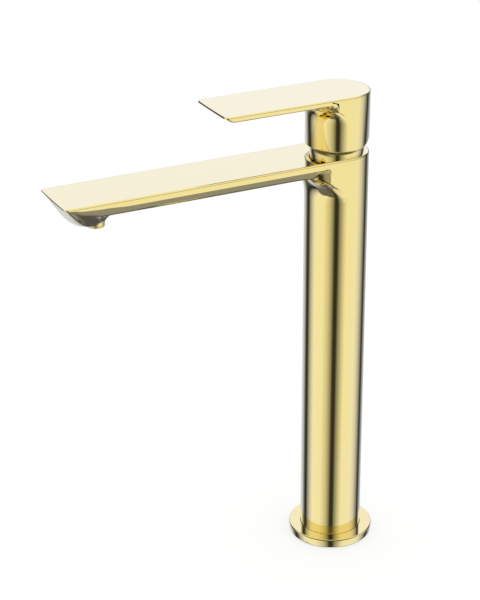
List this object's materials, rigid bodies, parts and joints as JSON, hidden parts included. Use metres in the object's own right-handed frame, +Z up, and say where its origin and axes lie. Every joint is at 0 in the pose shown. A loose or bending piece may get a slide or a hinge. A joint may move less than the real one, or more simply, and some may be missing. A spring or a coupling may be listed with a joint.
{
  "type": "tall single-lever basin mixer",
  "caption": "Tall basin mixer tap: round column, flat straight spout, flat lever on a round hub that lifts and turns, with cartridge and under-deck fixing.",
  "frame": {"origin": "on the column's axis, on the underside of the base gasket, which is the surface of the deck", "axes": "+Z up along the column; the spout and the lever point along -Y; +X is to the user's right, on the cold side"},
  "size_m": [0.0554, 0.2163, 0.3693],
  "materials": {
    "gold": "mirror-polished pale gold coating",
    "black_rubber": "matt black rubber",
    "plain_brass": "machined, uncoated",
    "copper_tube": "drawn copper",
    "black_plastic": "moulded, matt",
    "white_plastic": "moulded, satin",
    "white_ceramic": "lapped ceramic",
    "steel": "zinc-plated or stainless, satin"
  },
  "bodies": {
    "body": {"column": "gold", "spout": "gold", "base_flange": "gold", "flange_ring": "black_rubber", "base_gasket": "black_rubber", "base_plug": "plain_brass", "hot_tube": "copper_tube", "cold_tube": "copper_tube", "valve_block": "plain_brass", "port_seals": "black_rubber", "cartridge_base": "black_plastic", "cartridge_housing": "white_plastic", "housing_ring": "black_rubber", "fixed_disc": "white_ceramic", "stop_ring": "black_plastic", "cartridge_nut": "plain_brass", "neck_cover": "gold", "aerator_collar": "gold", "aerator_insert": "white_plastic", "aerator_seal": "black_rubber", "studs": "steel", "fixing_washer": "black_rubber", "fixing_plate": "steel", "stud_nuts": "plain_brass"},
    "handle": {"lever": "gold", "set_screw": "steel", "screw_cap": "gold", "stem": "plain_brass"},
    "core": {"turn_guide": "white_plastic", "pivot_pin": "steel"},
    "disc": {"moving_disc": "white_ceramic", "disc_carrier": "black_plastic"}
  },
  "joints": [
    {"name": "lever_turn", "type": "hinge", "parent": "body", "child": "core", "pos_m": [0, 0, 0.268], "axis": [0, 0, 1], "range_deg": [-45, 45]},
    {"name": "lever_lift", "type": "hinge", "parent": "core", "child": "handle", "pos_m": [0, 0, 0.268], "axis": [-1, 0, 0], "range_deg": [0, 25]},
    {"name": "disc_slide", "type": "slide", "parent": "core", "child": "disc", "axis": [0, -1, 0], "range_m": [0, 0.0042]}
  ],
  "couplings": [
    {"joint": "disc_slide", "follows": "lever_lift", "m_per_rad": 0.0092}
  ]
}
